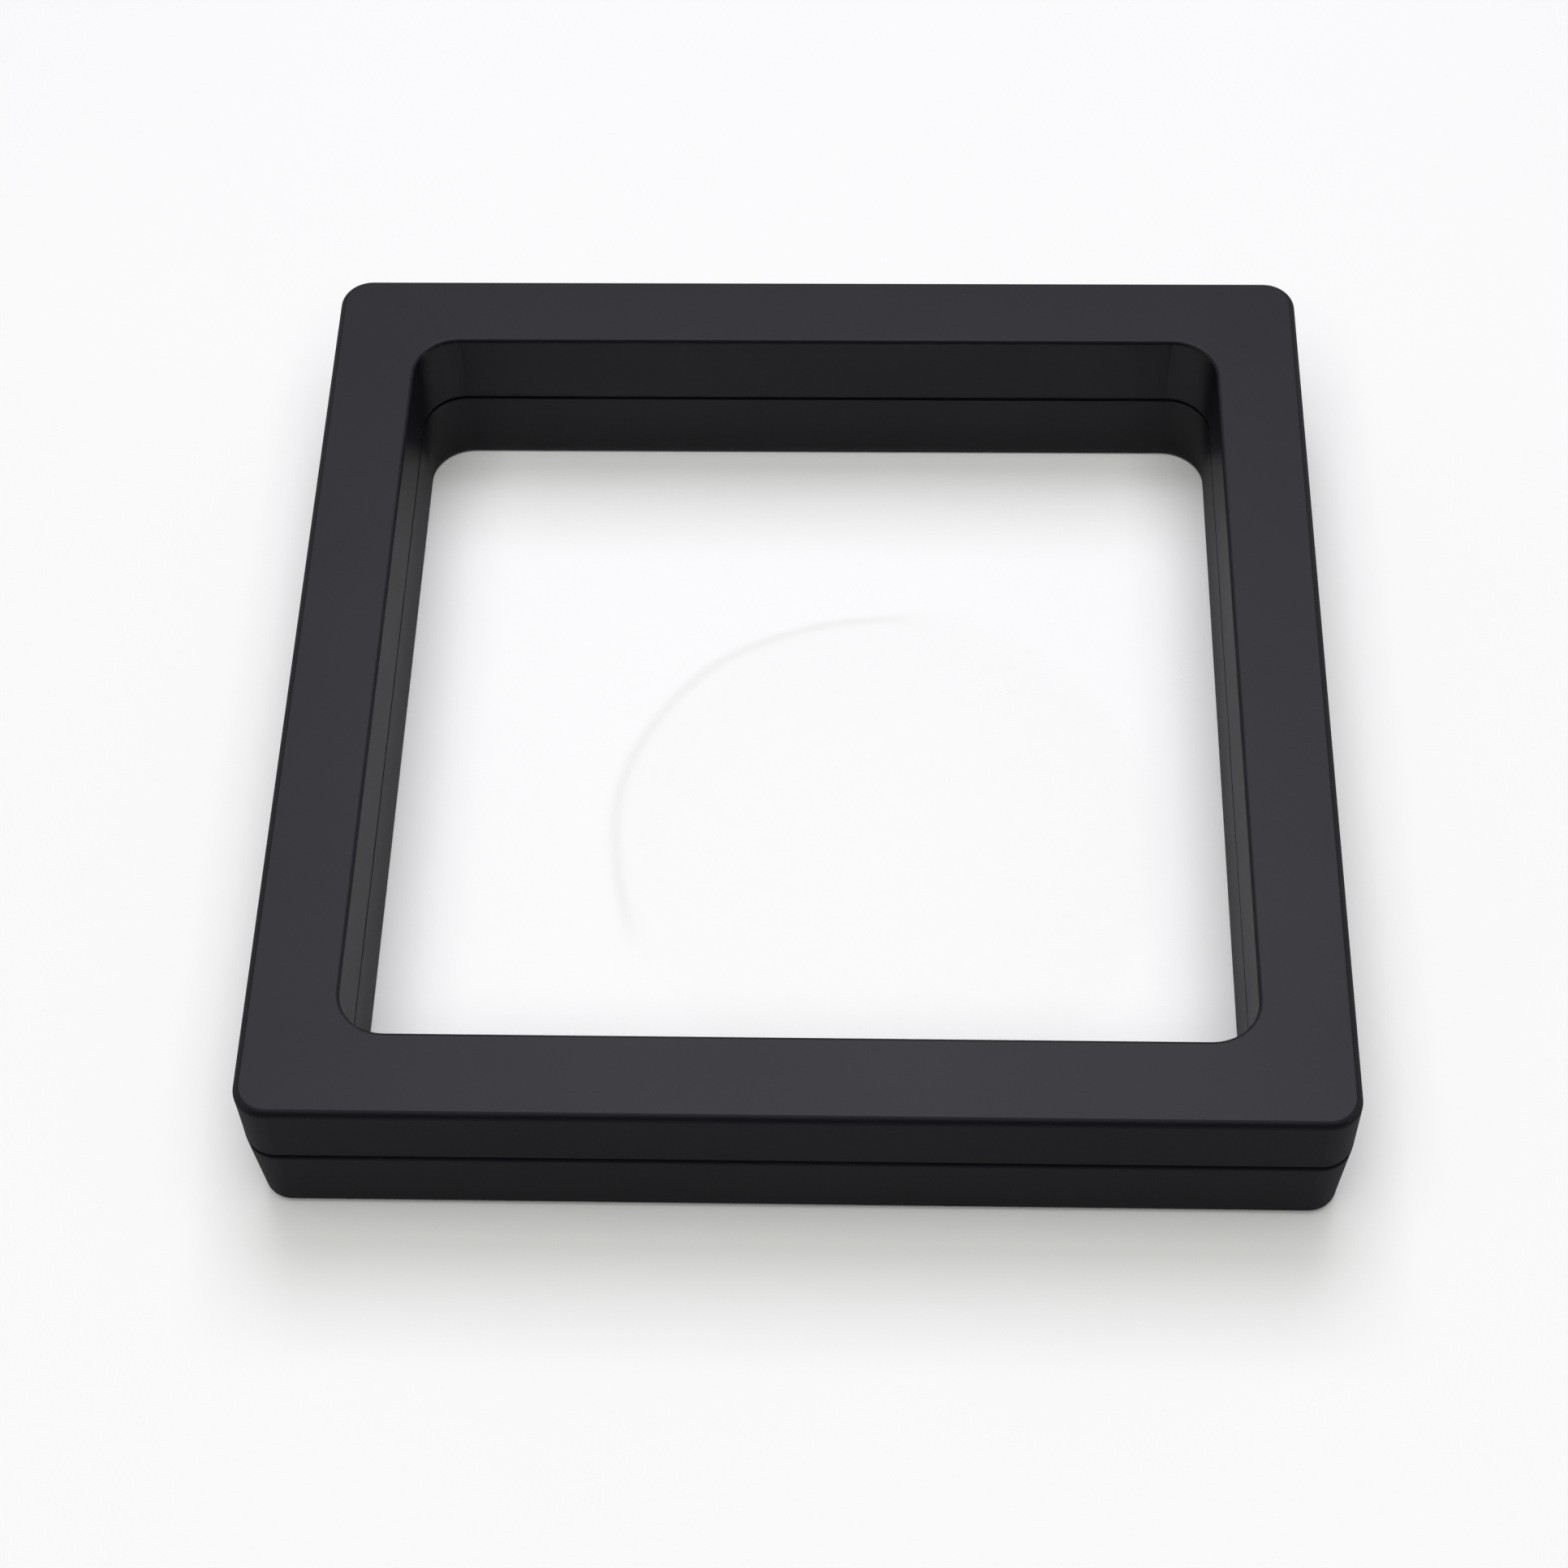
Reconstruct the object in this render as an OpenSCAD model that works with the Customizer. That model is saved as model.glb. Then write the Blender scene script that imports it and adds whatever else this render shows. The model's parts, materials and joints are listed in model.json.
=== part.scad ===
// Square clamshell display case: two moulded half-frames hinged at the back, each with a
// clear film stretched across its window, so that a small thing is held between the films.
// Millimetres, +Z up, front at -Y. The origin is on the table, under the middle of the
// closed case, hinges included.

/* [Case] */
// Width of the case at the seam, left to right
case_w = 110; // [90:1:160]
// Depth of the case at the seam, front to back, without the hinges
case_d = 110; // [90:1:160]
// Height from either outer face to the plane where the films meet
half_h = 9.8; // [9:0.1:16]
// Height of the outer seam above that plane, where the lower walls stand round the upper carrier
seam_rise = 1.4; // [0:0.1:2]
// Radius of the upright outer corners
corner_r = 3.5; // [3.2:0.1:8]
// Width of the frame round the window, seen from above
band_w = 9.5; // [9:0.1:16]
// Radius of the corners of the window
window_r = 4.8; // [2:0.1:10]

/* [Mouldings] */
// Thickness of the outer walls at the seam
wall_t = 2; // [1.6:0.1:2.6]
// Thickness of the flat faces
face_t = 1.6; // [1.2:0.1:2.4]
// Thickness of the rim round the window
rim_t = 1.4; // [1:0.1:2]
// Lean of the upper outer walls, from the seam to the top face
upper_draft = 0.05; // [0.05:0.05:0.6]
// Lean of the lower outer walls, from the seam to the bottom face
lower_draft = 0.6; // [0.05:0.05:1]
// Rounding of the upper outer edge
upper_edge_r = 0.7; // [0.3:0.1:1.5]
// Rounding of the lower outer edge
lower_edge_r = 1.2; // [0.3:0.1:1.8]
// Rounding of the window's edge on both faces
window_edge_r = 0.4; // [0.3:0.1:1]
// Bevel of both rims at the seam, which makes the groove between the halves
seam_bevel = 0.25; // [0.1:0.05:0.5]
// Gap between the closed halves
seam_gap = 0.1; // [0.05:0.05:0.3]

/* [Channel] */
// Thickness of the ribs across the channel
rib_t = 0.9; // [0.6:0.1:1.5]
// Room between the ribs and the carrier above them
rib_drop = 1.5; // [1:0.1:3]
// Ribs along each side, the middle one with a boss
side_ribs = 5; // [3:2:9]
// Diameter of the bosses that take the carrier's pegs
boss_d = 4.2; // [3.4:0.1:5]

/* [Film and carrier] */
// Thickness of the stretched film
film_t = 0.2; // [0.1:0.05:0.5]
// Width of film bonded outside the window rim
film_margin = 4; // [2:0.1:4.2]
// Thickness of the carrier
carrier_t = 1.4; // [1:0.1:2]
// Gap between the carrier and the rim of the window
carrier_fit = 0.1; // [0.05:0.05:0.3]
// Gap between the carrier and the outer walls
carrier_room = 0.3; // [0.25:0.05:0.5]
// Diameter of the carrier's pegs
peg_d = 2; // [1.5:0.1:2.4]
// Length of the carrier's pegs
peg_len = 3; // [2:0.1:4]
// Radial gap of a peg in its boss
peg_fit = 0.05; // [0.02:0.01:0.1]

/* [Hinge] */
// Distance of each hinge's middle from the side of the case
hinge_inset = 22; // [16:0.5:35]
// Distance of the hinge axis behind the back wall
hinge_out = 0.9; // [0.8:0.1:1.5]
// Outer diameter of the knuckles
knuckle_d = 4.2; // [3.8:0.1:5]
// Length of the upper knuckle, in the middle of each hinge
upper_knuckle_len = 6; // [4:0.5:10]
// Length of each of the two lower knuckles of a hinge
lower_knuckle_len = 5; // [3:0.5:8]
// Gap between the ends of the knuckles
knuckle_gap = 0.2; // [0.1:0.05:0.5]
// Room round a knuckle in the other half's wall
notch_gap = 0.4; // [0.3:0.05:0.8]
// Height of the web under a knuckle, from the seam
web_h = 4.6; // [3.5:0.1:6]
// Diameter of the hinge pins
pin_d = 1.5; // [1:0.1:1.5]
// Depth of the pin's ends inside the outer knuckles
pin_recess = 0.3; // [0:0.1:1]
// Radial gap of the pin where it is held, in the lower knuckles
pin_hold_fit = 0.01; // [0.01:0.01:0.02]
// Radial gap of the pin where the upper knuckle turns on it
pin_run_fit = 0.05; // [0.03:0.01:0.1]

/* [Closing tongues] */
// Distance of each tongue's middle from the middle of the front
tongue_x = 24; // [12:0.5:32]
// Width of a tongue
tongue_w = 12; // [6:0.5:16]
// Thickness of a tongue
tongue_t = 1.2; // [0.8:0.1:1.4]
// Reach of a tongue below the films
tongue_drop = 2.5; // [1.5:0.1:3.5]
// Height of a tongue's root above the films
tongue_root = 5; // [3:0.1:6]
// Bevel at a tongue's tip
tongue_bevel = 0.4; // [0.2:0.1:0.6]
// Gap between a tongue and the wall it slides behind
tongue_gap = 0.15; // [0.1:0.05:0.3]
// Room round a tongue in both carriers
tongue_room = 0.35; // [0.3:0.05:0.6]

/* [Hidden] */
$fn = 64;
// Overrun of cutting shapes past the faces they open
over = 1;
// Depth to which added features sink into the wall that carries them
sink = 0.8;
// Angle that a rounded edge turns through between its two flats
round_turn = 72;
// Angle below the level at which a web runs out of its knuckle
web_turn = 80;

window_w = case_w - 2 * band_w;
window_d = case_d - 2 * band_w;
rim_w = window_w + 2 * rim_t;
rim_d = window_d + 2 * rim_t;
rim_r = window_r + rim_t;
channel_w = case_w - 2 * wall_t;
channel_d = case_d - 2 * wall_t;
channel_r = max(corner_r - wall_t, 0.5);
// Heights in one half, measured from its outer face
film_z = half_h - seam_gap / 2 - film_t;
carrier_z = film_z - carrier_t;
rib_z = carrier_z - rib_drop;
// Heights of the seam and of the hinge axis in each half
lower_wall_h = half_h + seam_rise;
upper_wall_h = half_h - seam_rise;
// Middle of the channel, where bosses and pegs stand
boss_x = (channel_w + rim_w) / 4;
boss_y = (channel_d + rim_d) / 4;
boss_places = [
    for (x = [-1, 1], y = [-1, 1]) [x * boss_x, y * boss_y],
    for (x = [-1, 1]) [x * boss_x, 0],
    for (y = [-1, 1]) [0, y * boss_y]
];
hinge_x = case_w / 2 - hinge_inset;
hinge_y = case_d / 2 + hinge_out;
knuckle_r = knuckle_d / 2;
hinge_len = upper_knuckle_len + 2 * (knuckle_gap + lower_knuckle_len);
lower_knuckle_x = (upper_knuckle_len + lower_knuckle_len) / 2 + knuckle_gap;
tongue_y = channel_d / 2 - tongue_gap - tongue_t;
// The hinges stand out behind the case, so the case sits half of that to the front
origin_y = (hinge_out + knuckle_r) / 2;

moulding_colour = [0.13, 0.13, 0.14];
film_colour = [0.92, 0.95, 0.97, 0.3];
steel_colour = [0.75, 0.75, 0.77];

// Flat rectangle with round corners, centred
module round_rect(w, d, r) {
    square([w - 2 * r, d], center = true);
    square([w, d - 2 * r], center = true);
    for (x = [-1, 1], y = [-1, 1])
        translate([x * (w / 2 - r), y * (d / 2 - r)])
            circle(r);
}

// Round of an edge, seen end on: the part of a circle through a and b inside their corner
module edge_round(a, corner, b) {
    middle = (a + b) / 2;
    half_chord = norm(b - a) / 2;
    inward = (middle - corner) / norm(middle - corner);
    intersection() {
        polygon([a, corner, b]);
        translate(middle + inward * half_chord / tan(round_turn / 2))
            circle(half_chord / sin(round_turn / 2));
    }
}

// Half section of a half-frame's outside: a leaning wall, a round outer edge and a seam bevel
module outside_profile(reach, draft, edge_r, wall_h) {
    corner = [reach - draft, 0];
    round_in = corner - [edge_r, 0];
    round_up = corner + [draft, wall_h] * edge_r / norm([draft, wall_h]);
    end_z = wall_h - seam_gap / 2;
    bevel_z = end_z - seam_bevel;
    polygon([
        [0, 0],
        round_in,
        round_up,
        [reach - draft * (1 - bevel_z / wall_h), bevel_z],
        [reach - seam_bevel, end_z],
        [0, end_z]
    ]);
    edge_round(round_in, corner, round_up);
}

// Half section of the window's cut, flared by the round edge at the outer face
module window_profile(reach) {
    flare = reach + window_edge_r;
    square([reach, half_h + over]);
    translate([0, -over])
        square([flare, over]);
    difference() {
        polygon([[reach, 0], [flare, 0], [reach, window_edge_r]]);
        edge_round([flare, 0], [reach, 0], [reach, window_edge_r]);
    }
}

// Straight run of a half section along X, on both sides of the middle
module both_sides(length) {
    rotate([90, 0, 90])
        linear_extrude(length, center = true) {
            children();
            mirror([1, 0])
                children();
        }
}

// Turns a half section through a quarter circle at each corner of a rectangle
module at_corners(w, d, r) {
    for (quarter = [0 : 3]) {
        x = quarter == 0 || quarter == 3 ? 1 : -1;
        y = quarter < 2 ? 1 : -1;
        translate([x * (w / 2 - r), y * (d / 2 - r), 0])
            rotate(90 * quarter)
                rotate_extrude(angle = 90)
                    children();
    }
}

// Block with round upright corners and the outside profile on all sides
module outside_block(draft, edge_r, wall_h) {
    both_sides(case_w - 2 * corner_r)
        outside_profile(case_d / 2, draft, edge_r, wall_h);
    rotate(90)
        both_sides(case_d - 2 * corner_r)
            outside_profile(case_w / 2, draft, edge_r, wall_h);
    at_corners(case_w, case_d, corner_r)
        outside_profile(corner_r, draft, edge_r, wall_h);
}

// The opening through a half-frame
module window_cut() {
    both_sides(window_w - 2 * window_r)
        window_profile(window_d / 2);
    rotate(90)
        both_sides(window_d - 2 * window_r)
            window_profile(window_w / 2);
    at_corners(window_w, window_d, window_r)
        window_profile(window_r);
}

// The pocket behind the face, open at the seam
module pocket_cut() {
    translate([0, 0, face_t])
        linear_extrude(lower_wall_h)
            round_rect(channel_w, channel_d, channel_r);
}

// The block that the window is cut from, which leaves the rim that the film lies on
module rim_block() {
    translate([0, 0, face_t - sink])
        linear_extrude(film_z - face_t + sink)
            round_rect(rim_w, rim_d, rim_r);
}

// Ribs across the channel along one side, from the rim to the outer wall
module side_rib_row(length, rim_at, wall_at) {
    pitch = length / (side_ribs + 1);
    span = wall_at - rim_at;
    for (i = [1 : side_ribs])
        translate([i * pitch - length / 2 - rib_t / 2, rim_at - sink, 0])
            cube([rib_t, span + 2 * sink, rib_z]);
}

// Ribs along all four sides of one half
module channel_ribs() {
    for (turn = [0, 180]) {
        rotate(turn)
            side_rib_row(window_w, rim_d / 2, channel_d / 2);
        rotate(turn + 90)
            side_rib_row(window_d, rim_w / 2, channel_w / 2);
    }
}

// Bosses of one half, joined to the wall by a short rib at each corner
module channel_bosses() {
    for (place = boss_places)
        translate(place)
            cylinder(h = carrier_z, d = boss_d);
    for (x = [-1, 1], y = [-1, 1])
        translate([x * boss_x - rib_t / 2, y * boss_y + (y < 0 ? -band_w / 2 : 0), 0])
            cube([rib_t, band_w / 2, rib_z]);
}

// Holes for the pegs
module peg_holes() {
    for (place = boss_places)
        translate([place[0], place[1], carrier_z - peg_len - rib_drop / 2])
            cylinder(h = half_h, r = peg_d / 2 + peg_fit);
}

// Section of a knuckle and of the web that carries it on the wall, axis at the seam
module knuckle_profile() {
    circle(knuckle_r);
    polygon([
        [-hinge_out - sink, -web_h],
        [-hinge_out, -web_h],
        [knuckle_r * cos(web_turn), -knuckle_r * sin(web_turn)],
        [0, 0],
        [-hinge_out - sink, 0]
    ]);
}

// One knuckle, centred along X on the hinge axis
module knuckle(length, wall_h) {
    translate([0, hinge_y, wall_h])
        rotate([90, 0, 90])
            linear_extrude(length, center = true)
                knuckle_profile();
}

// Round hole or pin on the hinge axis, centred along X
module axis_rod(length, r, wall_h) {
    translate([0, hinge_y, wall_h])
        rotate([0, 90, 0])
            cylinder(h = length, r = r, center = true);
}

// Cut in the back wall that clears a knuckle of the other half
module knuckle_notch(length, wall_h) {
    depth = knuckle_r + notch_gap;
    translate([-length / 2, channel_d / 2 - over, wall_h - depth])
        cube([length, wall_t + 2 * over, depth + over]);
}

// Places its children at both hinges
module at_hinges() {
    for (side = [-1, 1])
        translate([side * hinge_x, 0, 0])
            children();
}

// Places its children at the two lower knuckles of a hinge
module at_lower_knuckles() {
    for (side = [-1, 1])
        translate([side * lower_knuckle_x, 0, 0])
            children();
}

// Half-frame without its hinge: outside, window, channel, ribs and bosses
module half_moulding(draft, edge_r, wall_h) {
    difference() {
        union() {
            difference() {
                outside_block(draft, edge_r, wall_h);
                pocket_cut();
            }
            rim_block();
            intersection() {
                union() {
                    channel_ribs();
                    channel_bosses();
                }
                translate([0, 0, face_t - sink])
                    linear_extrude(half_h)
                        round_rect(channel_w + sink, channel_d + sink, channel_r + sink / 2);
            }
        }
        window_cut();
        peg_holes();
    }
}

// Closing tongues, growing from the inside of the upper front wall
module tongues() {
    root_z = half_h - tongue_root;
    wall_z = upper_wall_h - seam_gap / 2 - seam_bevel;
    tip_z = half_h + tongue_drop;
    for (side = [-1, 1])
        translate([side * tongue_x, 0, 0])
            rotate([90, 0, 90])
                linear_extrude(tongue_w, center = true)
                    polygon([
                        [-channel_d / 2 - sink, root_z],
                        [-tongue_y, root_z],
                        [-tongue_y, tip_z],
                        [-tongue_y - tongue_t + tongue_bevel, tip_z],
                        [-tongue_y - tongue_t, tip_z - tongue_bevel],
                        [-tongue_y - tongue_t, wall_z],
                        [-channel_d / 2 - sink, wall_z]
                    ]);
}

// Notches in a carrier's front edge that clear the tongues
module tongue_notches() {
    w = tongue_w + 2 * tongue_room;
    for (side = [-1, 1])
        translate([side * tongue_x - w / 2, -case_d / 2, 0])
            square([w, case_d / 2 - tongue_y + tongue_room]);
}

// Flat frame that closes a channel, with its pegs
module carrier() {
    color(moulding_colour) {
        translate([0, 0, carrier_z])
            linear_extrude(carrier_t)
                difference() {
                    round_rect(channel_w - 2 * carrier_room, channel_d - 2 * carrier_room, channel_r);
                    round_rect(rim_w + 2 * carrier_fit, rim_d + 2 * carrier_fit, rim_r);
                    tongue_notches();
                }
        for (place = boss_places)
            translate([place[0], place[1], carrier_z - peg_len])
                cylinder(h = peg_len + carrier_t / 2, d = peg_d);
    }
}

// Film across the window, bonded to the rim's end and to the carrier
module film() {
    color(film_colour)
        translate([0, 0, film_z])
            linear_extrude(film_t)
                round_rect(rim_w + 2 * film_margin, rim_d + 2 * film_margin, rim_r);
}

module hinge_pin(side) {
    color(steel_colour)
        translate([side * hinge_x, 0, 0])
            axis_rod(hinge_len - 2 * pin_recess, pin_d / 2, lower_wall_h);
}

// Puts a piece of the lower half in its place
module in_lower() {
    translate([0, -origin_y, 0])
        children();
}

// Turns a piece over into the upper half
module in_upper() {
    translate([0, -origin_y, 2 * half_h])
        mirror([0, 0, 1])
            children();
}

module lower_frame() {
    color(moulding_colour)
        difference() {
            union() {
                half_moulding(lower_draft, lower_edge_r, lower_wall_h);
                at_hinges()
                    at_lower_knuckles()
                        knuckle(lower_knuckle_len, lower_wall_h);
            }
            at_hinges() {
                knuckle_notch(upper_knuckle_len + 2 * knuckle_gap, lower_wall_h);
                axis_rod(hinge_len, pin_d / 2 + pin_hold_fit, lower_wall_h);
            }
        }
}

module upper_frame() {
    color(moulding_colour)
        difference() {
            union() {
                half_moulding(upper_draft, upper_edge_r, upper_wall_h);
                tongues();
                at_hinges()
                    knuckle(upper_knuckle_len, upper_wall_h);
            }
            at_hinges() {
                at_lower_knuckles()
                    knuckle_notch(lower_knuckle_len + 2 * knuckle_gap, upper_wall_h);
                axis_rod(upper_knuckle_len, pin_d / 2 + pin_run_fit, upper_wall_h);
            }
        }
}

in_lower() lower_frame();
in_upper() upper_frame();
in_lower() carrier();  // lower_carrier
in_upper() carrier();  // upper_carrier
in_lower() film();  // lower_film
in_upper() film();  // upper_film
in_lower() hinge_pin(-1);  // hinge_pin_left
in_lower() hinge_pin(1);  // hinge_pin_right
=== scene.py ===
"""Dresses the square film-window display case: finishes, stretched films, studio and camera.

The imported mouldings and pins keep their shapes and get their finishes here. The two films are
modelled as thin stretched sheets. Lengths are in metres, +Z is up and the front is at -Y.
"""

import json
import logging
import math
from abc import ABC, abstractmethod
from collections.abc import Mapping
from dataclasses import dataclass
from enum import Enum, IntEnum

import bmesh
import bpy
from mathutils import Matrix, Vector


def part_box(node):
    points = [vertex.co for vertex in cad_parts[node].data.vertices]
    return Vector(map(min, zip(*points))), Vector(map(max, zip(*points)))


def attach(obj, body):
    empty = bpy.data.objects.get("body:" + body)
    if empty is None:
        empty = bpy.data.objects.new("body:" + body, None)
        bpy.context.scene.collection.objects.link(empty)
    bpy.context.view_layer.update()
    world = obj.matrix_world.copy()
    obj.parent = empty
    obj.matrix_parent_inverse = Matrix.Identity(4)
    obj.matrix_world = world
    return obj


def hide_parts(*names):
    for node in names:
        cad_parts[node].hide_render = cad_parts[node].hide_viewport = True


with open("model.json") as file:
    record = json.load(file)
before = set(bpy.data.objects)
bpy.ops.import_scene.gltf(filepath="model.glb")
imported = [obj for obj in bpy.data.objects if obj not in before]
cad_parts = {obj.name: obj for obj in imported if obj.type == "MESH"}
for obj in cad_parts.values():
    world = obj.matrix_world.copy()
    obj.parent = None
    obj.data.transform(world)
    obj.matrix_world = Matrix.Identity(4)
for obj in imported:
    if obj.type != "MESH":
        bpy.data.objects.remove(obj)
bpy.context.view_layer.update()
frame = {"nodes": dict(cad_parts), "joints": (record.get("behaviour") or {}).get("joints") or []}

LOG = logging.getLogger("display_case")
MM = 0.001
RIGHT_ANGLE = 90
SHARP_ANGLE = math.radians(40)
UNIT_GRID = 0.5
NOISE_MIDDLE = 0.5
CORNER_SIGNS = ((1, 1), (-1, 1), (-1, -1), (1, -1))
WHITE = (1.0, 1.0, 1.0)

Colour = tuple[float, float, float]
Place = tuple[float, float, float]
Span = tuple[float, float]


@dataclass(frozen=True)
class RoundSquare:
    """A square outline with round corners, about the middle of the case."""

    width: float
    corner_r: float

    def grown(self, by: float) -> "RoundSquare":
        """The outline moved outwards all round."""
        return RoundSquare(self.width + 2 * by, self.corner_r + by)


def middle(node: str) -> Vector:
    """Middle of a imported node's box."""
    low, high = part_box(node)
    return (low + high) / 2


CASE = RoundSquare(110 * MM, 3.5 * MM)
WINDOW = RoundSquare(91 * MM, 4.8 * MM)
RIM_T = 1.4 * MM
RIM = WINDOW.grown(RIM_T)
FILM_MARGIN = 4 * MM
FILM = RoundSquare(RIM.width + 2 * FILM_MARGIN, RIM.corner_r)
MIDDLE_Y = middle("lower_film").y
# The hinge's axis lies at the height of the outer seam.
SEAM_Z = frame["joints"][0]["pos_m"][2]


class Half(Enum):
    """The two halves of the case, with the body that each one moves with."""

    LOWER = "base"
    UPPER = "lid"

    def node(self, piece: str) -> str:
        """Name of one of this half's pieces."""
        return f"{self.name.lower()}_{piece}"

    @property
    def seam_side(self) -> int:
        """Direction along Z from this half to the seam."""
        return 1 if self is Half.LOWER else -1


class Side(Enum):
    """The two hinges, by their side of the case, with the pin of each one."""

    LEFT = "hinge_pin_left"
    RIGHT = "hinge_pin_right"


class MixSocket(IntEnum):
    """Places of the sockets on a Mix node that mixes colours."""

    FACTOR = 0
    RESULT = 2
    FIRST = 6
    SECOND = 7


@dataclass(frozen=True)
class Value:
    """A node's output that takes part in Python arithmetic."""

    tree: "ShaderTree"
    socket: bpy.types.NodeSocket

    def __add__(self, other: "Operand") -> "Value":
        """Sum of two values."""
        return self.tree.math("ADD", self, other)

    __radd__ = __add__

    def __sub__(self, other: "Operand") -> "Value":
        """Difference of two values."""
        return self.tree.math("SUBTRACT", self, other)

    def __rsub__(self, other: "Operand") -> "Value":
        """Difference with the value on the right."""
        return self.tree.math("SUBTRACT", other, self)

    def __mul__(self, other: "Operand") -> "Value":
        """Product of two values."""
        return self.tree.math("MULTIPLY", self, other)

    __rmul__ = __mul__

    def __abs__(self) -> "Value":
        """Value without its sign."""
        return self.tree.math("ABSOLUTE", self)


Operand = Value | float
Input = Value | float | tuple | bpy.types.NodeSocket


class ShaderTree:
    """The node tree of a material or of the world, written as expressions."""

    def __init__(self, owner: bpy.types.Material | bpy.types.World) -> None:
        """Empties the owner's node tree.

        Args:
            owner: Material or world whose nodes are written.
        """
        owner.use_nodes = True
        self.tree = owner.node_tree
        self.tree.nodes.clear()

    def node(
        self,
        kind: str,
        settings: Mapping[str, object] | None = None,
        inputs: Mapping[str | int, Input] | None = None,
    ) -> bpy.types.Node:
        """Adds one node.

        Args:
            kind: Blender's name of the node's type.
            settings: Properties of the node, set before its sockets.
            inputs: Value or link of each socket, by name or place.

        Returns:
            The new node.
        """
        made = self.tree.nodes.new(kind)
        for name, setting in (settings or {}).items():
            setattr(made, name, setting)
        for name, value in (inputs or {}).items():
            socket = made.inputs[name]
            if isinstance(value, Value):
                value = value.socket
            if isinstance(value, bpy.types.NodeSocket):
                self.tree.links.new(value, socket)
            else:
                socket.default_value = value
        return made

    def value(
        self,
        kind: str,
        output: str | int,
        settings: Mapping[str, object] | None = None,
        inputs: Mapping[str | int, Input] | None = None,
    ) -> Value:
        """Adds one node and takes one of its outputs.

        Args:
            kind: Blender's name of the node's type.
            output: Name or place of the output.
            settings: Properties of the node.
            inputs: Value or link of each socket.

        Returns:
            The output, ready for arithmetic.
        """
        return Value(self, self.node(kind, settings, inputs).outputs[output])

    def math(self, operation: str, *operands: Operand) -> Value:
        """Adds a Math node.

        Args:
            operation: Blender's name of the operation.
            operands: Values or numbers that it works on.

        Returns:
            The result.
        """
        settings = {"operation": operation}
        return self.value("ShaderNodeMath", 0, settings, dict(enumerate(operands)))

    def place(self) -> Value:
        """Place of the shaded point in the piece's own frame."""
        return self.value("ShaderNodeTexCoord", "Object")

    def axes(self, vector: Value) -> tuple[Value, Value, Value]:
        """Splits a vector.

        Args:
            vector: Vector to split.

        Returns:
            Its three parts.
        """
        parts = self.node("ShaderNodeSeparateXYZ", inputs={"Vector": vector})
        return tuple(Value(self, socket) for socket in parts.outputs)

    def noise(self, vector: Value, size: float, detail: float = 2.0) -> Value:
        """Soft noise from 0 to 1.

        Args:
            vector: Place where it is read.
            size: Size of its blots, in metres.
            detail: Number of finer layers in it.

        Returns:
            The noise.
        """
        inputs = {"Vector": vector, "Scale": 1 / size, "Detail": detail}
        return self.value("ShaderNodeTexNoise", "Fac", inputs=inputs)

    def ramp(self, value: Value, start: float, end: float) -> Value:
        """Smooth step from 0 at start to 1 at end.

        Args:
            value: Value that drives the step.
            start: Value at which it is 0.
            end: Value at which it is 1.

        Returns:
            The step.
        """
        settings = {"interpolation_type": "SMOOTHSTEP"}
        inputs = {"Value": value, "From Min": start, "From Max": end}
        return self.value("ShaderNodeMapRange", "Result", settings, inputs)

    def radius(self, x: Value, y: Value) -> Value:
        """Distance from the origin in a plane.

        Args:
            x: First part of the place.
            y: Second part of the place.

        Returns:
            The distance.
        """
        return self.math("SQRT", x * x + y * y)

    def beyond(self, x: Value, y: Value, outline: RoundSquare) -> Value:
        """Distance outwards from a square outline.

        Args:
            x: Place across the square, from its middle.
            y: Place along the square, from its middle.
            outline: The square.

        Returns:
            The distance, which is below 0 inside the outline.
        """
        core = outline.width / 2 - outline.corner_r
        past_x = self.math("MAXIMUM", abs(x) - core, 0.0)
        past_y = self.math("MAXIMUM", abs(y) - core, 0.0)
        return self.radius(past_x, past_y) - outline.corner_r

    def blend(self, factor: Operand, first: Colour, second: Colour) -> Value:
        """Mixes two colours.

        Args:
            factor: Share of the second colour.
            first: First colour.
            second: Second colour.

        Returns:
            The mixed colour.
        """
        inputs = {
            MixSocket.FACTOR: factor,
            MixSocket.FIRST: opaque(first),
            MixSocket.SECOND: opaque(second),
        }
        return self.value("ShaderNodeMix", MixSocket.RESULT, {"data_type": "RGBA"}, inputs)

    def bump(self, height: Value, depth: float) -> Value:
        """Normal of a surface with a fine relief.

        Args:
            height: Relief from 0 to 1.
            depth: Depth of the relief, in metres.

        Returns:
            The normal.
        """
        return self.value("ShaderNodeBump", "Normal", inputs={"Height": height, "Distance": depth})

    def principled(self, inputs: Mapping[str, Input]) -> bpy.types.Node:
        """Adds the main surface shader with the given sockets."""
        return self.node("ShaderNodeBsdfPrincipled", inputs=inputs)

    def mix(self, share: Value, first: bpy.types.Node, second: bpy.types.Node) -> bpy.types.Node:
        """Mixes two shaders.

        Args:
            share: Share of the second shader.
            first: First shader.
            second: Second shader.

        Returns:
            The mixed shader.
        """
        inputs = {0: share, 1: first.outputs[0], 2: second.outputs[0]}
        return self.node("ShaderNodeMixShader", inputs=inputs)

    def surface(self, shader: bpy.types.Node) -> None:
        """Makes a shader the result of a material."""
        self.node("ShaderNodeOutputMaterial", inputs={"Surface": shader.outputs[0]})


def opaque(colour: Colour) -> tuple[float, float, float, float]:
    """Colour with full cover, as colour sockets take it."""
    return (*colour, 1.0)


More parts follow.
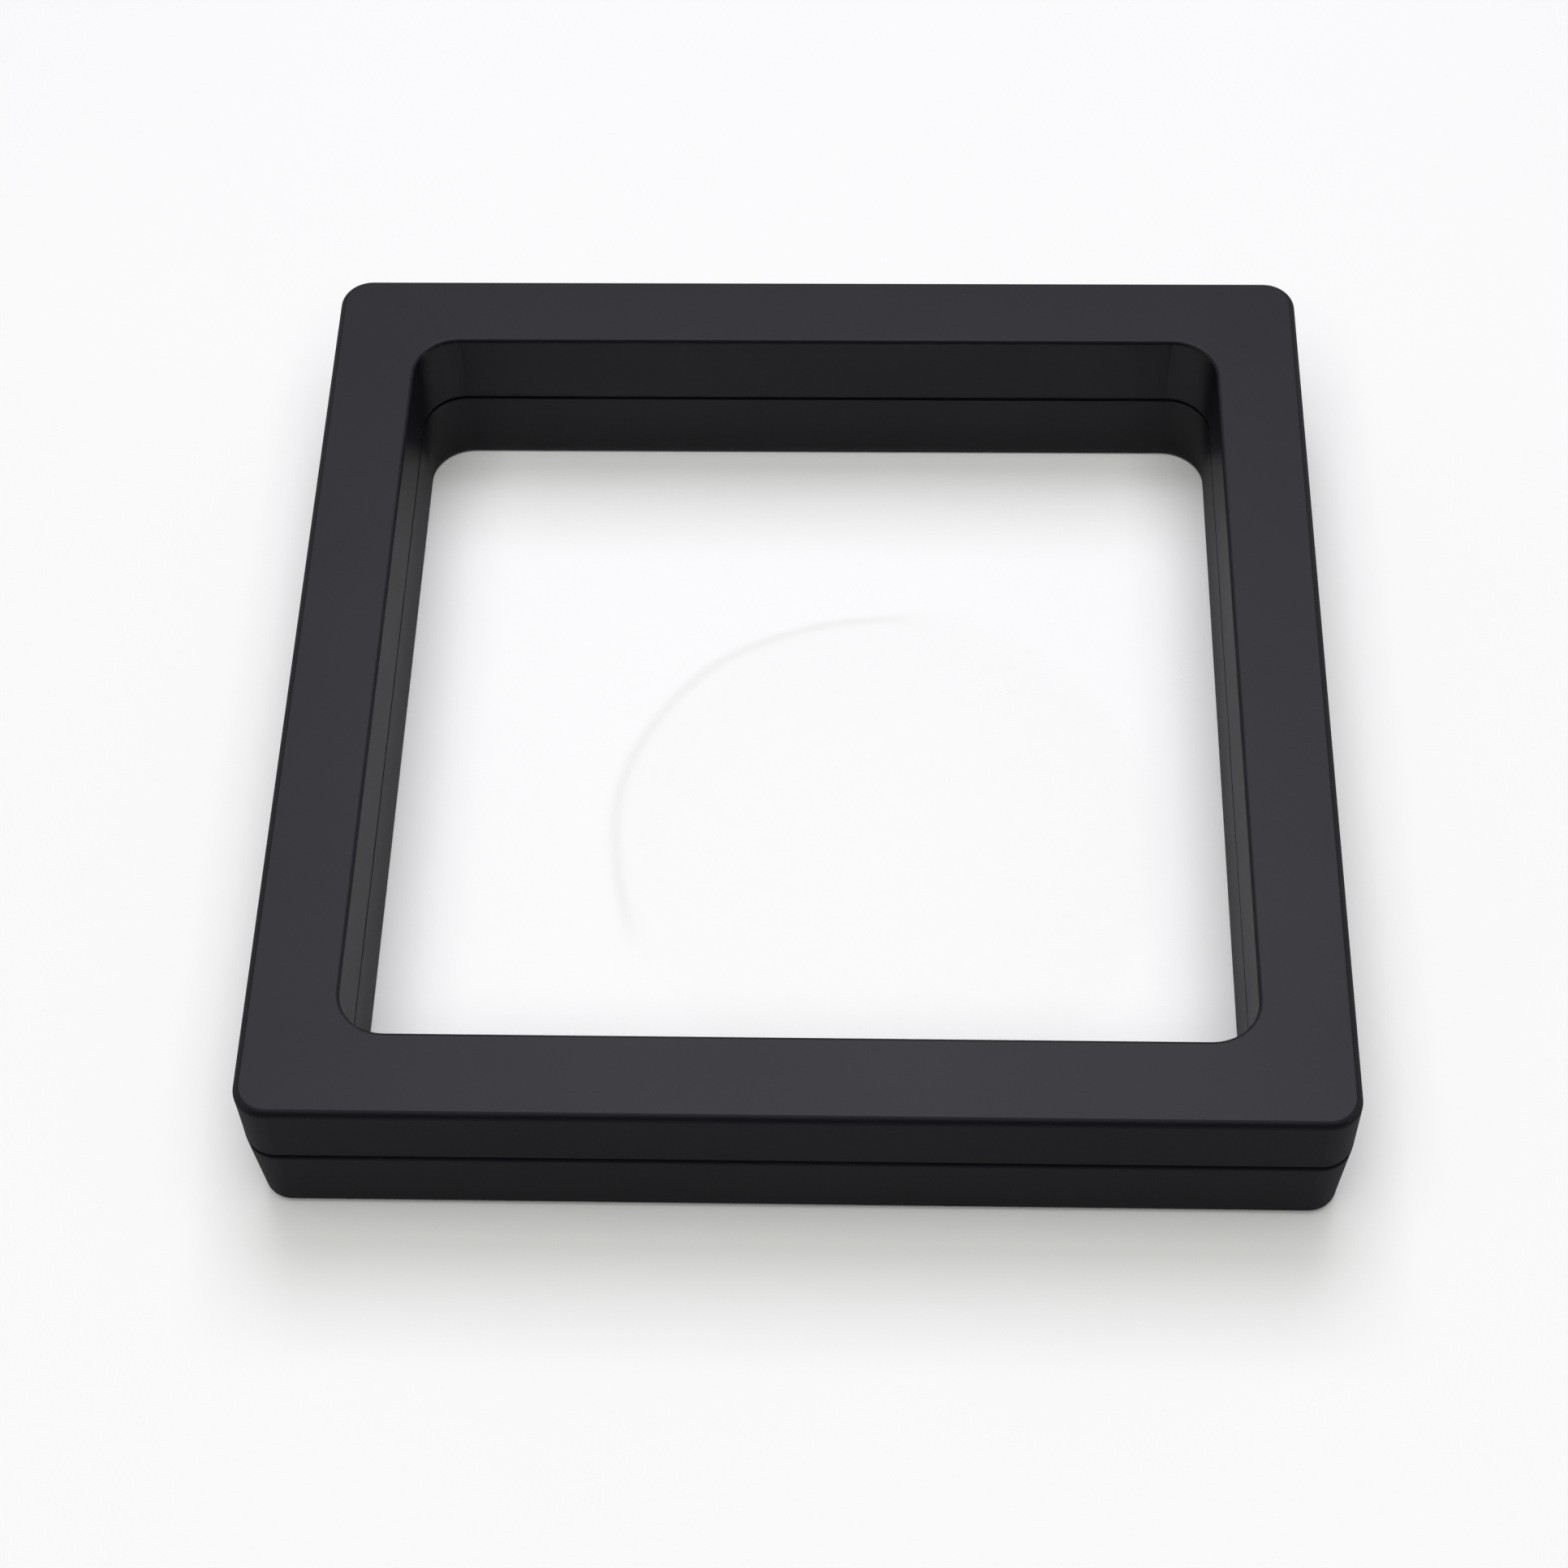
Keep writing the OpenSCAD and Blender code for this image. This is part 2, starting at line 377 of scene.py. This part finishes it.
@dataclass(frozen=True)
class Finish(ABC):
    """A finish that writes its own material."""

    name: str

    @abstractmethod
    def shade(self, tree: ShaderTree) -> bpy.types.Node:
        """Adds the nodes of the finish.

        Args:
            tree: Empty tree of the material.

        Returns:
            The shader of the surface.
        """

    def make(self) -> bpy.types.Material:
        """Writes the material.

        Returns:
            The finished material.
        """
        material = bpy.data.materials.new(self.name)
        tree = ShaderTree(material)
        tree.surface(self.shade(tree))
        return material


@dataclass(frozen=True)
class SatinMoulding(Finish):
    """Black moulded plastic: a dark body under a satin skin with the fine grain of its mould.

    The faces carry the satin. The outer walls, which drag along the mould, are duller. Just below
    the seam the satin can be nearly taken away, which paints a dark line of shade along the seam.

    Attributes:
        wall: Distances beyond the case's outline where the walls' dullness starts and is full.
        seam_shade: Heights below the seam where the painted shade starts and is full, or nothing.
    """

    colour: Colour = (0.0057, 0.0053, 0.008)
    pale_colour: Colour = (0.0073, 0.0068, 0.0098)
    body_roughness: float = 0.5
    satin: float = 0.31
    wall_satin: float = 0.17
    seam_shade_satin: float = 0.06
    satin_roughness: float = 0.37
    satin_spread: float = 0.12
    blot: float = 18 * MM
    blot_detail: float = 3.0
    grain: float = 0.16 * MM
    grain_detail: float = 1.0
    grain_depth: float = 0.004 * MM
    grain_spread: float = 0.1
    wall: Span = (-0.35 * MM, -0.1 * MM)
    seam_shade: Span | None = None

    def shade(self, tree: ShaderTree) -> bpy.types.Node:
        """Adds the nodes of the plastic.

        Args:
            tree: Empty tree of the material.

        Returns:
            The shader of the surface.
        """
        place = tree.place()
        across, along, up = tree.axes(place)
        blots = tree.noise(place, self.blot, self.blot_detail)
        grain = tree.noise(place, self.grain, self.grain_detail)
        on_wall = tree.ramp(tree.beyond(across, along - MIDDLE_Y, CASE), *self.wall)
        satin = on_wall * (self.wall_satin - self.satin) + self.satin
        # Painted shade: just below the seam the satin is taken down, so a dark line runs along it.
        if self.seam_shade is not None:
            in_seam_shade = tree.ramp(up, *self.seam_shade)
            satin = in_seam_shade * (self.seam_shade_satin - satin) + satin
        blotted = (blots - NOISE_MIDDLE) * self.satin_spread
        grained = (grain - NOISE_MIDDLE) * self.grain_spread
        return tree.principled({
            "Base Color": tree.blend(blots, self.colour, self.pale_colour),
            "Roughness": self.body_roughness,
            "Specular IOR Level": 0.0,
            "Normal": tree.bump(grain, self.grain_depth),
            "Coat Weight": satin * (1 + (blotted + grained)),
            "Coat Roughness": self.satin_roughness,
        })


@dataclass(frozen=True)
class ClearFilm(Finish):
    """Clear stretched film: see-through, with a faint mirror that grows at low angles.

    Where the two films cling to each other the air between them is gone, and the film mirrors less.
    A faint crease runs along one side of that spot and fades out to the right and to the front.
    The film catches a little light at the window's rim, and is hazy where it is bonded.
    """

    tint: Colour = (0.999, 0.999, 0.999)
    mirror: Colour = (0.94, 0.95, 0.96)
    mirror_share: float = 0.003
    grazing_share: float = 0.5
    grazing_power: float = 5.0
    roughness: float = 0.04
    cling_centre: tuple[float, float] = (10 * MM, -18 * MM)
    cling_radius: float = 30 * MM
    cling_wander: float = 5 * MM
    cling_blot: float = 26 * MM
    cling_detail: float = 1.0
    cling_loss: float = 0.3
    crease_colour: Colour = (0.03, 0.03, 0.032)
    crease_share: float = 0.0026
    crease_w: float = 1.6 * MM
    crease_full_x: float = 4 * MM
    crease_gone_x: float = 26 * MM
    crease_full_y: float = -26 * MM
    crease_gone_y: float = -37 * MM
    rim_fade: float = 0.8 * MM
    rim_share: float = 0.0045
    bond_fade: float = 0.4 * MM
    bond_haze: float = 0.025
    bond_roughness: float = 0.2

    def shade(self, tree: ShaderTree) -> bpy.types.Node:
        """Adds the nodes of the film.

        Args:
            tree: Empty tree of the material.

        Returns:
            The shader of the surface.
        """
        place = tree.place()
        across, along, _ = tree.axes(place)
        from_middle = along - MIDDLE_Y
        on_rim = tree.ramp(tree.beyond(across, from_middle, WINDOW), -self.rim_fade, 0.0)
        bonded = tree.ramp(tree.beyond(across, from_middle, RIM), 0.0, self.bond_fade)
        centre_x, centre_y = self.cling_centre
        from_centre = tree.radius(across - centre_x, along - centre_y)
        blots = tree.noise(place, self.cling_blot, self.cling_detail)
        wander = (blots - NOISE_MIDDLE) * self.cling_wander
        outside = from_centre + wander - self.cling_radius
        apart = tree.ramp(outside, -self.crease_w, 0.0)
        to_right = tree.ramp(across, self.crease_gone_x, self.crease_full_x)
        to_front = tree.ramp(along, self.crease_gone_y, self.crease_full_y)
        crease = tree.ramp(abs(outside), self.crease_w, 0.0) * to_right * to_front
        facing = tree.value("ShaderNodeLayerWeight", "Facing")
        grazing = tree.math("POWER", facing, self.grazing_power)
        mirrored = grazing * self.grazing_share + self.mirror_share
        kept = apart * self.cling_loss + (1 - self.cling_loss)
        share = mirrored * kept + crease * self.crease_share
        share = share + on_rim * self.rim_share + bonded * self.bond_haze
        clear = tree.node("ShaderNodeBsdfTransparent", inputs={"Color": opaque(self.tint)})
        gloss = tree.principled({
            "Base Color": tree.blend(crease, self.mirror, self.crease_colour),
            "Metallic": 1.0,
            "Roughness": bonded * self.bond_roughness + self.roughness,
        })
        return tree.mix(share, clear, gloss)


@dataclass(frozen=True)
class DrawnSteel(Finish):
    """Plain drawn wire of the hinge pins, with fine lines along it."""

    colour: Colour = (0.56, 0.55, 0.53)
    dull_colour: Colour = (0.42, 0.41, 0.4)
    roughness: float = 0.3
    roughness_spread: float = 0.16
    line: float = 0.05 * MM
    line_stretch: float = 60.0
    line_depth: float = 0.003 * MM

    def shade(self, tree: ShaderTree) -> bpy.types.Node:
        """Adds the nodes of the steel.

        Args:
            tree: Empty tree of the material.

        Returns:
            The shader of the surface.
        """
        inputs = {"Vector": tree.place(), "Scale": (1 / self.line_stretch, 1.0, 1.0)}
        drawn = tree.value("ShaderNodeMapping", "Vector", inputs=inputs)
        lines = tree.noise(drawn, self.line)
        return tree.principled({
            "Base Color": tree.blend(lines, self.colour, self.dull_colour),
            "Metallic": 1.0,
            "Roughness": lines * self.roughness_spread + self.roughness,
            "Normal": tree.bump(lines, self.line_depth),
        })


@dataclass(frozen=True)
class MattPaper(Finish):
    """Matt paper of the studio.

    Attributes:
        fade: Distances from the origin where the paper starts to fade and is gone, or nothing.
    """

    colour: Colour = (0.92, 0.92, 0.922)
    pale_colour: Colour = (0.93, 0.93, 0.931)
    blot: float = 40 * MM
    fade: Span | None = None

    def shade(self, tree: ShaderTree) -> bpy.types.Node:
        """Adds the nodes of the paper.

        Args:
            tree: Empty tree of the material.

        Returns:
            The shader of the surface.
        """
        place = tree.place()
        blots = tree.noise(place, self.blot)
        paper = tree.principled({
            "Base Color": tree.blend(blots, self.colour, self.pale_colour),
            "Roughness": 1.0,
            "Specular IOR Level": 0.0,
        })
        if self.fade is None:
            return paper
        across, along, _ = tree.axes(place)
        gone = tree.ramp(tree.radius(across, along), *self.fade)
        return tree.mix(gone, paper, tree.node("ShaderNodeBsdfTransparent"))


def smooth_step(share: float) -> float:
    """Eases a share from 0 to 1 in and out."""
    return share * (share * (3 - 2 * share))


def flat_sheet(width: float, depth: float, cells: int = 1) -> bmesh.types.BMesh:
    """Starts a shape from a level sheet, centred on the origin.

    Args:
        width: Size along X.
        depth: Size along Y.
        cells: Faces along each side.

    Returns:
        The shape.
    """
    shape = bmesh.new()
    bmesh.ops.create_grid(shape, x_segments=cells, y_segments=cells, size=UNIT_GRID)
    bmesh.ops.scale(shape, vec=(width, depth, 1), verts=shape.verts)
    return shape


def new_piece(name: str, shape: bmesh.types.BMesh) -> bpy.types.Object:
    """Turns a finished shape into an object at the origin.

    Args:
        name: Name of the piece.
        shape: Its shape, which is freed.

    Returns:
        The object, linked to the scene.
    """
    for edge in shape.edges:
        edge.smooth = edge.calc_face_angle(0.0) < SHARP_ANGLE
    mesh = bpy.data.meshes.new(name)
    shape.to_mesh(mesh)
    shape.free()
    mesh.shade_smooth()
    piece = bpy.data.objects.new(name, mesh)
    bpy.context.scene.collection.objects.link(piece)
    return piece


def dress(piece: bpy.types.Object, material: bpy.types.Material) -> None:
    """Gives a piece one material all over.

    Args:
        piece: Piece to dress.
        material: Its material.
    """
    if not piece.material_slots:
        piece.data.materials.append(material)
    for slot in piece.material_slots:
        slot.material = material


@dataclass
class StretchedFilm:
    """One half's film, bonded over the window rim and the carrier and drawn tight.

    Attributes:
        bow: How far the film is drawn towards the other one.
        bow_share: Share of the way from the window's edge to its middle where the bow is full.
        ripple_ways: Directions across the sheet of the two waves that make the ripple.
    """

    half: Half
    material: bpy.types.Material
    thickness: float = 0.18 * MM
    cells: int = 64
    corner_facets: int = 8
    bow: float = 0.035 * MM
    bow_share: float = 0.5
    ripple: float = 0.006 * MM
    ripple_pitch: float = 17 * MM
    ripple_ways: tuple[tuple[float, float], ...] = ((1.0, 0.35), (-0.3, 0.8))

    def round_corners(self, shape: bmesh.types.BMesh) -> None:
        """Cuts the sheet's square corners round.

        Args:
            shape: Flat sheet, centred on the origin.
        """
        core = FILM.width / 2 - FILM.corner_r
        for turn, (x_sign, y_sign) in enumerate(CORNER_SIGNS):
            pivot = Vector((x_sign * core, y_sign * core, 0))
            for facet in range(self.corner_facets):
                facet_middle = (facet + 0.5) / self.corner_facets
                angle = math.radians(RIGHT_ANGLE * (turn + facet_middle))
                outward = Vector((math.cos(angle), math.sin(angle), 0))
                bmesh.ops.bisect_plane(
                    shape,
                    geom=[*shape.verts, *shape.edges, *shape.faces],
                    plane_co=pivot + outward * FILM.corner_r,
                    plane_no=outward,
                    clear_outer=True,
                )

    def lift(self, x: float, y: float) -> float:
        """How far a point of the tight film bows towards the other one.

        Args:
            x: Place across the sheet, from its middle.
            y: Place along the sheet, from its middle.

        Returns:
            Height towards the seam.
        """
        from_edge = 1 - 2 * max(abs(x), abs(y)) / WINDOW.width
        if from_edge <= 0:
            return 0.0
        inside = smooth_step(min(1.0, from_edge / self.bow_share))
        turn = math.tau / self.ripple_pitch
        waves = math.prod(
            math.sin(turn * (way_x * x + way_y * y)) for way_x, way_y in self.ripple_ways
        )
        return inside * (self.bow + self.ripple * waves)

    def build(self) -> bpy.types.Object:
        """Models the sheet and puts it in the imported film's place.

        Returns:
            The film.
        """
        packed = self.half.node("film")
        shape = flat_sheet(FILM.width, FILM.width, self.cells)
        self.round_corners(shape)
        for vert in shape.verts:
            vert.co.z = self.half.seam_side * self.lift(vert.co.x, vert.co.y)
        underside = middle(packed) - Vector((0, 0, self.thickness / 2))
        bmesh.ops.translate(shape, vec=underside, verts=shape.verts)
        bmesh.ops.solidify(shape, geom=shape.faces[:], thickness=-self.thickness)
        bmesh.ops.recalc_face_normals(shape, faces=shape.faces)
        piece = new_piece(self.half.node("stretched_film"), shape)
        dress(piece, self.material)
        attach(piece, self.half.value)
        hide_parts(packed)
        self.half.node("carrier")
        self.half.node("frame")
        return piece


@dataclass
class CaseHalf:
    """One half of the case: moulded frame, carrier and stretched film."""

    half: Half
    frame_material: bpy.types.Material
    carrier_material: bpy.types.Material
    film: StretchedFilm

    def dress(self) -> list[bpy.types.Object]:
        """Dresses the mouldings and makes the film.

        Returns:
            The pieces of this half.
        """
        moulding = frame["nodes"][self.half.node("frame")]
        carrier = frame["nodes"][self.half.node("carrier")]
        dress(moulding, self.frame_material)
        dress(carrier, self.carrier_material)
        return [moulding, carrier, self.film.build()]


@dataclass
class Hinge:
    """One of the two hinges: the pin that the knuckles share."""

    side: Side
    material: bpy.types.Material

    def dress(self) -> list[bpy.types.Object]:
        """Dresses the pin.

        Returns:
            The pieces of this hinge.
        """
        pin = frame["nodes"][self.side.value]
        dress(pin, self.material)
        return [pin]


@dataclass(frozen=True)
class Softbox:
    """A level bank of light above the case.

    Attributes:
        radiance: Brightness of the lamp's face.
        mirrored: Whether glossy surfaces show the lamp.
    """

    name: str
    place: Place
    width: float
    depth: float
    radiance: float
    colour: Colour
    mirrored: bool = True

    def build(self) -> None:
        """Hangs the lamp."""
        light = bpy.data.lights.new(self.name, "AREA")
        light.shape = "RECTANGLE"
        light.size = self.width
        light.size_y = self.depth
        light.color = self.colour
        light.energy = self.radiance * math.pi * self.width * self.depth
        lamp = bpy.data.objects.new(self.name, light)
        lamp.location = self.place
        lamp.visible_glossy = self.mirrored
        bpy.context.scene.collection.objects.link(lamp)


@dataclass(frozen=True)
class PhotoCamera:
    """Camera at the photograph's place and angle.

    Attributes:
        yaw: Heading, clockwise from +Y seen from above, in degrees.
        pitch: Angle of the line of sight below the horizon, in degrees.
        roll: Turn about the line of sight, in degrees.
        lens: Focal length, in millimetres.
        sensor: Width of the sensor, in millimetres.
    """

    place: Place = (9.108 * MM, -202.195 * MM, 291.214 * MM)
    yaw: float = -3.41
    pitch: float = 55.681
    roll: float = -2.37
    lens: float = 73.06
    sensor: float = 36.0
    clip_start: float = 1 * MM

    def build(self) -> None:
        """Makes the scene's camera."""
        data = bpy.data.cameras.new("photo_camera")
        data.lens = self.lens
        data.sensor_width = self.sensor
        data.clip_start = self.clip_start
        camera = bpy.data.objects.new("photo_camera", data)
        turned = Matrix.Rotation(math.radians(-self.yaw), 4, "Z")
        tipped = Matrix.Rotation(math.radians(RIGHT_ANGLE - self.pitch), 4, "X")
        rolled = Matrix.Rotation(math.radians(self.roll), 4, "Z")
        camera.matrix_world = Matrix.Translation(self.place) @ turned @ tipped @ rolled
        bpy.context.scene.collection.objects.link(camera)
        bpy.context.scene.camera = camera


@dataclass
class Studio:
    """Pale floor, soft light, a dark card on the camera's side, and the camera.

    Attributes:
        ambient: Strength of the surroundings as a light.
        backdrop: Strength of the surroundings where they are seen.
    """

    floor_r: float = 2.0
    floor_facets: int = 96
    floor_paper: MattPaper = MattPaper("matt_paper", fade=(0.3, 0.75))
    card_w: float = 2.4
    card_h: float = 1.5
    card_y: float = -0.85
    card_paper: MattPaper = MattPaper(
        "dark_paper", colour=(0.01, 0.01, 0.01), pale_colour=(0.012, 0.012, 0.012)
    )
    ambient: float = 0.1
    backdrop: float = 0.96
    lamps: tuple[Softbox, ...] = (
        Softbox(
            "back_bank",
            place=(0.0, 0.5, 1.0),
            width=0.66,
            depth=0.7,
            radiance=4.5,
            colour=(1.0, 0.98, 1.06),
        ),
        Softbox(
            "front_fill",
            place=(0.0, -0.5, 0.95),
            width=1.0,
            depth=1.2,
            radiance=2.7,
            colour=(1.0, 1.01, 0.965),
            mirrored=False,
        ),
    )
    camera: PhotoCamera = PhotoCamera()

    def lay_floor(self) -> None:
        """Lays the floor."""
        shape = bmesh.new()
        bmesh.ops.create_circle(
            shape, cap_ends=True, radius=self.floor_r, segments=self.floor_facets
        )
        floor = new_piece("floor", shape)
        dress(floor, self.floor_paper.make())

    def stand_card(self) -> None:
        """Stands a dark card behind the camera, which the camera doesn't see."""
        shape = flat_sheet(self.card_w, self.card_h)
        upright = Matrix.Rotation(math.radians(RIGHT_ANGLE), 3, "X")
        bmesh.ops.rotate(shape, matrix=upright, verts=shape.verts)
        bmesh.ops.translate(shape, vec=(0, self.card_y, self.card_h / 2), verts=shape.verts)
        card = new_piece("dark_card", shape)
        dress(card, self.card_paper.make())
        card.visible_camera = False

    def light_world(self) -> None:
        """Fills the surroundings with soft light and a white backdrop."""
        world = bpy.data.worlds.new("studio")
        bpy.context.scene.world = world
        tree = ShaderTree(world)
        path = tree.node("ShaderNodeLightPath")
        camera, glossy, through = (
            Value(tree, path.outputs[name])
            for name in ("Is Camera Ray", "Is Glossy Ray", "Is Transmission Ray")
        )
        seen = tree.math("MAXIMUM", tree.math("MAXIMUM", camera, glossy), through)
        strength = seen * (self.backdrop - self.ambient) + self.ambient
        inputs = {"Color": opaque(WHITE), "Strength": strength}
        shader = tree.node("ShaderNodeBackground", inputs=inputs)
        tree.node("ShaderNodeOutputWorld", inputs={"Surface": shader.outputs[0]})

    def build(self) -> None:
        """Sets up the whole studio."""
        self.lay_floor()
        self.stand_card()
        self.light_world()
        for lamp in self.lamps:
            lamp.build()
        self.camera.build()
        bpy.context.scene.view_settings.view_transform = "Standard"


def main() -> None:
    """Builds the case, half by half, and then the studio round it."""
    logging.basicConfig(level=logging.INFO, format="%(name)s: %(message)s")
    frame_materials = {
        Half.UPPER: SatinMoulding("satin_black").make(),
        Half.LOWER: SatinMoulding(
            "satin_black_tapered",
            wall=(-1.0 * MM, -0.6 * MM),
            # Painted shade along the seam: the lower half's satin is nearly taken away just below
            # it.
            seam_shade=(SEAM_Z - 0.8 * MM, SEAM_Z - 0.6 * MM),
        ).make(),
    }
    carrier_material = SatinMoulding("carrier_black", satin_roughness=0.5).make()
    film_material = ClearFilm("clear_film").make()
    steel = DrawnSteel("drawn_steel").make()
    assemblies: list[CaseHalf | Hinge] = [
        CaseHalf(half, moulding, carrier_material, StretchedFilm(half, film_material))
        for half, moulding in frame_materials.items()
    ]
    assemblies += [Hinge(side, steel) for side in Side]
    for assembly in assemblies:
        for piece in assembly.dress():
            faces = len(piece.data.polygons)
            LOG.info("%s: %d faces, %s", piece.name, faces, piece.material_slots[0].name)
    Studio().build()


if __name__ == "__main__":
    main()
